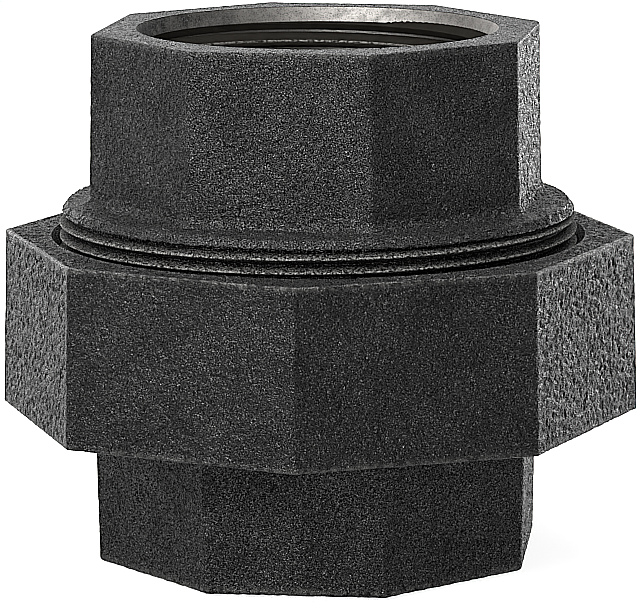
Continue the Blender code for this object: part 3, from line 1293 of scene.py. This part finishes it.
class EffectKit:
    """Builds each effect's node group once.

    Attributes:
        pit_range: Noise between the pits and the grains.
        spark_range: Noise over which grain tips begin to spark.
        spark_power: How sharply they do.
        grain_shine: Shine of the grains beside the sparks.
        smear_scale: Smears to the metre.
        spot_range: Noise between whole and broken spots of an edge.
    """

    pit_range: Range = (0.29, 0.51)
    spark_range: Range = (0.53, 0.78)
    spark_power: float = 1.5
    grain_shine: float = 0.20
    smear_scale: float = 700.0
    spot_range: Range = (0.35, 0.65)

    def __init__(self) -> None:
        """Starts with no groups."""
        self.groups: dict[Effect, bpy.types.NodeTree] = {}

    def group(self, effect: Effect) -> bpy.types.NodeTree:
        """The node group of an effect, built when first asked for.

        Args:
            effect: Which one.

        Returns:
            The group.
        """
        makers = {
            Effect.SAND_GRAIN: self.sand_grain,
            Effect.TOOL_LINES: self.tool_lines,
            Effect.EDGE_WEAR: self.edge_wear,
        }
        if effect not in self.groups:
            self.groups[effect] = makers[effect]()
        return self.groups[effect]

    @staticmethod
    def start(
        effect: Effect, inputs: dict[str, float], outputs: list[str],
    ) -> tuple[Graph, bpy.types.Node, bpy.types.Node]:
        """An empty group with its sockets.

        Args:
            effect: Names the group.
            inputs: Input names and first values.
            outputs: Output names.

        Returns:
            The graph, its input node and its output node.
        """
        tree = bpy.data.node_groups.new(effect.value, "ShaderNodeTree")
        kind = "NodeSocketFloat"
        for name, value in inputs.items():
            tree.interface.new_socket(name, in_out="INPUT", socket_type=kind).default_value = value
        for name in outputs:
            tree.interface.new_socket(name, in_out="OUTPUT", socket_type=kind)
        graph = Graph(tree)
        return graph, graph.add("NodeGroupInput"), graph.add("NodeGroupOutput")

    def sand_grain(self) -> bpy.types.NodeTree:
        """Grain of a sand mould: fine grains with pits between them, in patches.

        Returns:
            The group, with Height, Grains, Shine and Patches.
        """
        graph, given, result = self.start(
            Effect.SAND_GRAIN, {"Grain Size": 0.0002, "Patch Size": 0.006, "Seed": 0.0, "Pit Share": 0.0},
            ["Height", "Grains", "Shine", "Patches"])
        seed = given.outputs["Seed"]
        fine = graph.math("DIVIDE", 1.0, given.outputs["Grain Size"])
        broad = graph.math("DIVIDE", 1.0, given.outputs["Patch Size"])
        grains = graph.noise(fine, 1.0, 0.5, seed)
        patches = graph.noise(broad, 4.0, 0.6, seed)
        sparks = graph.math("POWER", graph.ramp(grains, self.spark_range), self.spark_power)
        body = graph.ramp(graph.math("SUBTRACT", grains, given.outputs["Pit Share"]), self.pit_range)
        shine = graph.math("ADD", graph.times(body, self.grain_shine), sparks)
        return graph.give(result, height=grains, grains=body, shine=shine, patches=patches)

    def tool_lines(self) -> bpy.types.NodeTree:
        """Fine rings that a cutting tool leaves round the axis, and smears.

        Returns:
            The group, with Height and Streaks.
        """
        graph, given, result = self.start(
            Effect.TOOL_LINES, {"Line Width": 0.00012}, ["Height", "Streaks"])
        parts = graph.add("ShaderNodeSeparateXYZ", {0: graph.place()})
        flat = graph.add("ShaderNodeCombineXYZ", {0: parts.outputs[0], 1: parts.outputs[1]}).outputs[0]
        radius = graph.add("ShaderNodeVectorMath", {0: flat}, operation="LENGTH").outputs["Value"]
        lines = graph.add("ShaderNodeCombineXYZ", {0: radius, 1: parts.outputs[2]}).outputs[0]
        wide = graph.math("DIVIDE", 1.0, given.outputs["Line Width"])
        feeds = {"Vector": lines, "Scale": wide, "Detail": 1.0}
        rings = graph.add("ShaderNodeTexNoise", feeds).outputs["Fac"]
        return graph.give(result, height=rings, streaks=graph.noise(self.smear_scale, 3.0))

    def edge_wear(self) -> bpy.types.NodeTree:
        """Rubbed edges, broken up by spots.

        Returns:
            The group, with Rubbed.
        """
        graph, given, result = self.start(
            Effect.EDGE_WEAR, {"Amount": 1.0, "Spot Size": 0.0007}, ["Rubbed"])
        worn = graph.add("ShaderNodeAttribute", attribute_name=WEAR_LAYER).outputs["Fac"]
        spots = graph.noise(graph.math("DIVIDE", 1.0, given.outputs["Spot Size"]), 2.0)
        broken = graph.times(worn, graph.ramp(spots, self.spot_range))
        return graph.give(result, rubbed=graph.times(broken, given.outputs["Amount"]))


KIT = EffectKit()


@dataclass(frozen=True)
class Finish(ABC):
    """A surface finish that makes its own material.

    Attributes:
        name: Name of the material.
    """

    name: str

    def material(self) -> bpy.types.Material:
        """The finished material, its surface fed by the finish."""
        material = bpy.data.materials.new(self.name)
        material.use_nodes = True
        graph = Graph(material.node_tree)
        shader = graph.add("ShaderNodeBsdfPrincipled", {**self.feeds(graph), "Specular IOR Level": 0.0})
        graph.add("ShaderNodeOutputMaterial", {"Surface": shader.outputs[0]})
        return material

    @staticmethod
    def effect(graph: Graph, effect: Effect, **values: float) -> dict[str, bpy.types.NodeSocket]:
        """Places an effect in a material with its own values.

        Args:
            graph: The material's graph.
            effect: Which effect.
            values: Its inputs, with underscores for spaces.

        Returns:
            Its outputs by name.
        """
        feeds = {socket_name(name): value for name, value in values.items()}
        node = graph.add("ShaderNodeGroup", feeds, node_tree=KIT.group(effect))
        return {socket.name: socket for socket in node.outputs}

    @abstractmethod
    def feeds(self, graph: Graph) -> dict[str, Feed]:
        """What the surface shader takes.

        Args:
            graph: The material's graph.

        Returns:
            Values and sockets for the shader's inputs.
        """


@dataclass(frozen=True)
class SandCast(Finish):
    """Black sand-cast iron: dead black pits between dull grains, and sparks on the grain tips.

    Attributes:
        seed: Place in the noise.
        pit: Colour of the pits.
        tip: Colour of the brightest tips.
        rubbed: Colour of rubbed edges.
        gleam: Metal share of the grains; the pits have none.
        pit_share: How much wider the pits are than usual.
        grain_size: Size of the grains.
        grain_depth: Depth of the grain's relief.
        patch_range: Noise between the darkest and the lightest patches.
        patch_tone: Their share of the colour.
        smooth: Roughness of the lighter patches.
        rough: Roughness of the darker ones.
    """

    seed: float = 0.0
    pit: Colour = (0.003, 0.003, 0.003, 1.0)
    tip: Colour = (0.085, 0.085, 0.084, 1.0)
    rubbed: Colour = (0.30, 0.295, 0.285, 1.0)
    gleam: float = 0.95
    pit_share: float = 0.0
    grain_size: float = 0.00015
    grain_depth: float = 0.00015
    patch_range: Range = (0.3, 0.7)
    patch_tone: Range = (0.75, 1.2)
    smooth: float = 0.24
    rough: float = 0.36

    def feeds(self, graph: Graph) -> dict[str, Feed]:
        """Grain, patches and rubbed edges on black iron.

        Args:
            graph: The material's graph.

        Returns:
            Values and sockets for the shader's inputs.
        """
        grain = self.effect(
            graph, Effect.SAND_GRAIN, grain_size=self.grain_size, seed=self.seed, pit_share=self.pit_share)
        wear = self.effect(graph, Effect.EDGE_WEAR, amount=1.0)
        patches = graph.ramp(grain["Patches"], self.patch_range, self.patch_tone)
        black = graph.blend(graph.times(grain["Shine"], patches), self.pit, self.tip)
        return {
            "Base Color": graph.blend(wear["Rubbed"], black, self.rubbed),
            "Roughness": graph.ramp(grain["Patches"], self.patch_range, (self.rough, self.smooth)),
            "Metallic": graph.times(grain["Grains"], self.gleam),
            "Normal": graph.bump(grain["Height"], self.grain_depth),
        }


@dataclass(frozen=True)
class CutThread(Finish):
    """Blackened cut iron of the union thread, grimy and speckled, brighter on the crests.

    Attributes:
        seed: Place in the noise.
        dark: Colour of the grime.
        light: Colour of the bare specks.
        crest: Colour of rubbed crests.
        gleam: Metal share of the specks.
        speck_size: Size of the specks.
        speck_depth: Depth of their relief.
        speck_range: Noise over which the specks brighten.
        speck_power: How sharply they do.
        crest_wear: Share of the crests' wear that shows.
        spot_size: Size of the spots that break up the crests.
        roughness: Roughness all over.
    """

    seed: float = 4.0
    dark: Colour = (0.003, 0.003, 0.0029, 1.0)
    light: Colour = (0.11, 0.108, 0.105, 1.0)
    crest: Colour = (0.24, 0.237, 0.229, 1.0)
    gleam: float = 0.12
    speck_size: float = 0.00016
    speck_depth: float = 0.00010
    speck_range: Range = (0.5, 0.72)
    speck_power: float = 1.5
    crest_wear: float = 0.7
    spot_size: float = 0.0003
    roughness: float = 0.42

    def feeds(self, graph: Graph) -> dict[str, Feed]:
        """Specks in black grime, and rubbed crests.

        Args:
            graph: The material's graph.

        Returns:
            Values and sockets for the shader's inputs.
        """
        grain = self.effect(graph, Effect.SAND_GRAIN, grain_size=self.speck_size, seed=self.seed)
        wear = self.effect(graph, Effect.EDGE_WEAR, amount=self.crest_wear, spot_size=self.spot_size)
        specks = graph.math("POWER", graph.ramp(grain["Height"], self.speck_range), self.speck_power)
        grime = graph.blend(specks, self.dark, self.light)
        return {
            "Base Color": graph.blend(graph.times(wear["Rubbed"], grain["Grains"]), grime, self.crest),
            "Metallic": graph.times(grain["Grains"], self.gleam),
            "Roughness": self.roughness,
            "Normal": graph.bump(grain["Height"], self.speck_depth),
        }


@dataclass(frozen=True)
class OiledBore(Finish):
    """Flanks of the pipe thread: brown-black under a dull film, with torn bright crests.

    Attributes:
        dark: Colour of the film.
        light: Its lighter smears.
        crest: Colour of the torn crests.
        spot_size: Size of the spots that break up the crests.
        roughness: Roughness all over.
    """

    dark: Colour = (0.006, 0.0055, 0.0046, 1.0)
    light: Colour = (0.013, 0.0119, 0.0102, 1.0)
    crest: Colour = (0.10, 0.096, 0.09, 1.0)
    spot_size: float = 0.0004
    roughness: float = 0.5

    def feeds(self, graph: Graph) -> dict[str, Feed]:
        """Smears and torn crests.

        Args:
            graph: The material's graph.

        Returns:
            Values and sockets for the shader's inputs.
        """
        lines = self.effect(graph, Effect.TOOL_LINES)
        wear = self.effect(graph, Effect.EDGE_WEAR, amount=1.0, spot_size=self.spot_size)
        film = graph.blend(lines["Streaks"], self.dark, self.light)
        return {
            "Base Color": graph.blend(wear["Rubbed"], film, self.crest),
            "Metallic": wear["Rubbed"],
            "Roughness": self.roughness,
        }


@dataclass(frozen=True)
class TurnedMetal(Finish):
    """Bare turned metal, dulled: faint tool rings and smears, and painted shade in black grain over its left
    side where an edge is given.

    Attributes:
        dark: Colour of the smears.
        light: Colour of the clean metal.
        seed: Place in the noise.
        line_width: Width of the tool's rings.
        line_height: Height of the rings beside the pits.
        pit_size: Size of the pits.
        pit_depth: Depth of the pits.
        pit_tone: Share of the clean colour in the pits and beside them.
        patch_size: Size of the dull patches.
        patch_range: Noise between dull patches and bright ones.
        patch_tone: Their share of the clean colour.
        smear_range: Noise between smears and clean metal.
        smear_tone: Their share of the clean colour.
        sheen_range: Noise between rough and smooth metal.
        smooth: Roughness of the clean metal.
        rough: Roughness of the smears.
        scale: Colour of the grains of the painted shade.
        painted_shade_edge: How far the painted shade reaches along X from the left; none where not given.
        painted_shade_fade: Width over which it thins out.
        painted_shade_gleam: Metal share of the painted shade.
    """

    dark: Colour = (0.06, 0.058, 0.055, 1.0)
    light: Colour = (0.23, 0.221, 0.209, 1.0)
    seed: float = 5.0
    line_width: float = 0.0002
    line_height: float = 0.3
    pit_size: float = 0.00016
    pit_depth: float = 0.00003
    pit_tone: Range = (0.4, 1.0)
    patch_size: float = 0.03
    patch_range: Range = (0.4, 0.6)
    patch_tone: Range = (0.3, 1.0)
    smear_range: Range = (0.2, 0.6)
    smear_tone: Range = (0.6, 1.0)
    sheen_range: Range = (0.3, 0.7)
    smooth: float = 0.52
    rough: float = 0.64
    # Painted shade: black grain that darkens the metal's left side, towards -X.
    scale: Colour = (0.20, 0.20, 0.197, 1.0)
    painted_shade_edge: float | None = None
    painted_shade_fade: float = 0.018
    painted_shade_gleam: float = 0.75

    def painted_shade(
        self, graph: Graph, metal: bpy.types.NodeSocket, streaks: bpy.types.NodeSocket,
        shine: bpy.types.NodeSocket,
    ) -> dict[str, Feed]:
        """Painted shade on the left side, in black grain with a ragged edge.

        Args:
            graph: The material's graph.
            metal: Colour of the turned metal beside it.
            streaks: Noise that makes the edge ragged.
            shine: Grain of the painted shade.

        Returns:
            Colour and metal share of the two together.
        """
        # Painted shade: the metal goes over to black grain towards -X, with a ragged edge.
        across = graph.add("ShaderNodeSeparateXYZ", {0: graph.place()}).outputs[0]
        ragged = graph.times(graph.math("SUBTRACT", streaks, 0.5), self.painted_shade_fade)
        edge = (self.painted_shade_edge - self.painted_shade_fade, self.painted_shade_edge)
        cut = graph.ramp(graph.math("ADD", across, ragged), edge)
        return {
            "Base Color": graph.blend(cut, graph.blend(shine, SandCast.pit, self.scale), metal),
            "Metallic": graph.ramp(cut, (0.0, 1.0), (self.painted_shade_gleam, 1.0)),
        }

    def feeds(self, graph: Graph) -> dict[str, Feed]:
        """Tool rings on bare metal, and painted shade on the left side where it has an edge.

        Args:
            graph: The material's graph.

        Returns:
            Values and sockets for the shader's inputs.
        """
        lines = self.effect(graph, Effect.TOOL_LINES, line_width=self.line_width)
        grain = self.effect(
            graph, Effect.SAND_GRAIN, grain_size=self.pit_size, patch_size=self.patch_size, seed=self.seed)
        streaks = lines["Streaks"]
        bare = graph.times(
            graph.ramp(grain["Grains"], (0.0, 1.0), self.pit_tone),
            graph.ramp(grain["Patches"], self.patch_range, self.patch_tone))
        clean = graph.times(graph.ramp(streaks, self.smear_range, self.smear_tone), bare)
        relief = graph.math("ADD", graph.times(lines["Height"], self.line_height), grain["Height"])
        looks = {
            "Base Color": graph.blend(clean, self.dark, self.light),
            "Metallic": 1.0,
            "Roughness": graph.ramp(streaks, self.sheen_range, (self.rough, self.smooth)),
            "Normal": graph.bump(relief, self.pit_depth),
        }
        # Where an edge is given, painted shade darkens the left side.
        if self.painted_shade_edge is not None:
            looks.update(self.painted_shade(graph, looks["Base Color"], streaks, grain["Shine"]))
        return looks


@dataclass(frozen=True)
class SoftBox:
    """Soft light that the camera doesn't see.

    Attributes:
        name: Its name.
        place: Where it hangs.
        size: Its width and height.
        power: Its power in watts.
        aim: What it faces, the middle of the part unless given.
    """

    name: str
    place: Point
    size: tuple[float, float]
    power: float
    aim: Point = tuple((CAD_BOX[0] + CAD_BOX[1]) / 2)

    def hang(self) -> None:
        """Puts the light in the scene."""
        data = bpy.data.lights.new(self.name, "AREA")
        data.shape = "RECTANGLE"
        data.size, data.size_y = self.size
        data.energy = self.power
        lamp = linked(self.name, data)
        lamp.location = self.place
        lamp.visible_camera = False
        toward = Vector(self.aim) - Vector(self.place)
        lamp.rotation_euler = toward.to_track_quat("-Z", "Y").to_euler()


SOFT_BOXES = (
    SoftBox("overhead", (0.0, 0.05, 0.60), (0.45, 0.45), 5.0),
    SoftBox("front_left", (-0.35, -0.45, 0.40), (0.35, 0.35), 3.7),
    SoftBox("front_low", (-0.15, -0.60, 0.10), (0.30, 0.20), 0.8),
    SoftBox("left", (-0.78, 0.20, 0.42), (0.40, 0.40), 0.5),
    SoftBox("left_back", (-0.55, 0.78, 0.10), (0.40, 0.30), 1.85),
    SoftBox("back", (0.0, 1.0, 0.45), (1.2, 0.5), 3.9),
    SoftBox("right", (0.66, 0.79, 0.045), (0.7, 0.09), 3.8),
    SoftBox("through_bore", (0.0, 0.0, 0.030), (0.02, 0.02), 0.03, aim=(0.0, 0.0, 1.0)),
    SoftBox("floor_front_left", (-0.20, -0.30, 0.35), (0.30, 0.30), 2.7, aim=(-0.20, -0.30, 0.0)),
)


@dataclass
class Studio:
    """White floor, soft light and the camera of the photograph.

    Attributes:
        frame_px: Width and height of the picture.
        focal_px: Focal length in pixels of that picture.
        sensor: Width of the camera's sensor in millimetres.
        distance: Camera to the pipe axis, along Y.
        height: Camera above the floor.
        pitch: How far it looks down.
        roll: Turn about its own axis.
        floor_size: Width of the floor.
        floor_drop: Floor below the part's foot.
        floor_tone: Colour of the floor.
        floor_roughness: Roughness of the floor.
        floor_glow: Light that it gives off, which keeps it white.
        sky: Strength of the light from all round.
        sharpness: Share of sharpening in the finished picture.
        print_gamma: Exponent of the values that are sharpened.
    """

    frame_px: tuple[int, int] = (637, 603)
    focal_px: float = 4219.4
    sensor: float = 36.0
    distance: float = 0.50437
    height: float = 0.12438
    pitch: float = math.radians(10.5465)
    roll: float = -0.00326
    floor_size: float = 6.0
    floor_drop: float = 0.0002
    floor_tone: float = 0.22
    floor_roughness: float = 0.9
    floor_glow: float = 0.88
    sky: float = 0.65
    sharpness: float = 0.28
    print_gamma: float = 2.2

    def camera(self) -> None:
        """Sets the camera at the photograph's angle."""
        data = bpy.data.cameras.new("camera")
        data.sensor_fit = "HORIZONTAL"
        data.sensor_width = self.sensor
        data.lens = self.focal_px / self.frame_px[0] * self.sensor
        data.clip_start = self.distance / 10
        data.clip_end = self.floor_size * 2
        camera = linked("camera", data)
        tilt = Matrix.Rotation(math.pi / 2 - self.pitch, 4, "X")
        stand = Matrix.Translation((0.0, -self.distance, self.height))
        camera.matrix_world = stand @ tilt @ Matrix.Rotation(self.roll, 4, "Z")
        bpy.context.scene.camera = camera

    def floor(self) -> None:
        """Lays the plain pale floor."""
        bm = bmesh.new()
        bmesh.ops.create_grid(bm, x_segments=4, y_segments=4, size=self.floor_size / 2)
        bmesh.ops.translate(bm, verts=bm.verts, vec=(0.0, 0.0, CAD_BOX[0].z - self.floor_drop))
        mesh = to_mesh(bm, "floor")
        material = bpy.data.materials.new("pale_floor")
        material.use_nodes = True
        shader = material.node_tree.nodes["Principled BSDF"]
        looks = {
            "Base Color": (*[self.floor_tone] * 3, 1.0),
            "Roughness": self.floor_roughness,
            "Specular IOR Level": 0.0,
            "Emission Color": WHITE,
            "Emission Strength": self.floor_glow,
        }
        for name, value in looks.items():
            shader.inputs[name].default_value = value
        mesh.materials.append(material)
        floor = linked("floor", mesh)

    def daylight(self) -> None:
        """Lights the scene evenly from all round."""
        world = bpy.data.worlds.new("studio")
        world.use_nodes = True
        background = world.node_tree.nodes["Background"]
        background.inputs["Color"].default_value = WHITE
        background.inputs["Strength"].default_value = self.sky
        bpy.context.scene.world = world

    def print_sharpness(self) -> None:
        """Sharpens the finished picture as the photograph is."""
        scene = bpy.context.scene
        scene.view_settings.view_transform = "Standard"
        scene.use_nodes = True
        graph = Graph(scene.node_tree)
        image = graph.add("CompositorNodeRLayers").outputs["Image"]
        printed = graph.add("CompositorNodeGamma", {"Image": image, "Gamma": 1 / self.print_gamma})
        crisp = graph.add(
            "CompositorNodeFilter", {"Fac": self.sharpness, "Image": printed.outputs[0]},
            filter_type="SHARPEN")
        linear = graph.add(
            "CompositorNodeGamma", {"Image": crisp.outputs[0], "Gamma": self.print_gamma})
        graph.add("CompositorNodeComposite", {"Image": linear.outputs[0]})

    def build(self) -> None:
        """Sets up the camera, floor and light."""
        self.camera()
        self.floor()
        self.daylight()
        for box in SOFT_BOXES:
            box.hang()
        self.print_sharpness()
        LOG.info("studio: camera, floor and %d soft boxes", len(SOFT_BOXES))


TAIL_IRON = SandCast("tail_black_iron", seed=1.0, gleam=0.7, pit_share=0.03)
NUT_IRON = SandCast("nut_black_iron", seed=2.0)
HEAD_IRON = SandCast(
    "head_black_iron", seed=3.0, tip=(0.115, 0.115, 0.114, 1.0), gleam=0.65, pit_share=0.04)
BRASS = TurnedMetal("seat_brass", dark=(0.42, 0.27, 0.08, 1.0), light=(0.78, 0.55, 0.22, 1.0))
SHARED_FINISHES = (
    CutThread("cut_thread"),
    TurnedMetal("turned_iron"),
    OiledBore("pipe_thread"),
    TurnedMetal(
        "thread_root", dark=(0.08, 0.077, 0.072, 1.0), light=(0.20, 0.193, 0.183, 1.0),
        smooth=0.3, rough=0.4),
    SandCast("faced_iron", seed=6.0, tip=(0.13, 0.13, 0.128, 1.0), gleam=0.5, pit_share=0.05),
    # The mouths' chamfer: turned iron with painted shade darkening its left side.
    TurnedMetal("mouth_iron_painted_shade", painted_shade_edge=-0.006),
)


def main() -> None:
    """Builds the studio and the four pieces in order, and notes their size."""
    logging.basicConfig(level=logging.INFO, format="%(name)s %(message)s")
    Studio().build()
    shared = [finish.material() for finish in SHARED_FINISHES]
    head = ThreadedEnd(CadSolid.measure("thread_end", 0.6, 1.0), seed=Vector((0.31, 0.0, 0.0)))
    nut = UnionNut(
        CadSolid.measure("union_nut", 0.0, 1.0), thread=head.union_thread(), seed=Vector((0.0, 0.47, 0.0)))
    tail = TailEnd(CadSolid.measure("tail_end", 0.0, 0.55), seed=Vector((0.0, 0.0, 0.73)))
    tail.build([TAIL_IRON.material(), *shared])
    nut.build([NUT_IRON.material(), *shared])
    low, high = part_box("brass_seat")
    BrassSeat(low.z, high.z, high.x).build(BRASS.material())
    head.build([HEAD_IRON.material(), *shared])


if __name__ == "__main__":
    main()
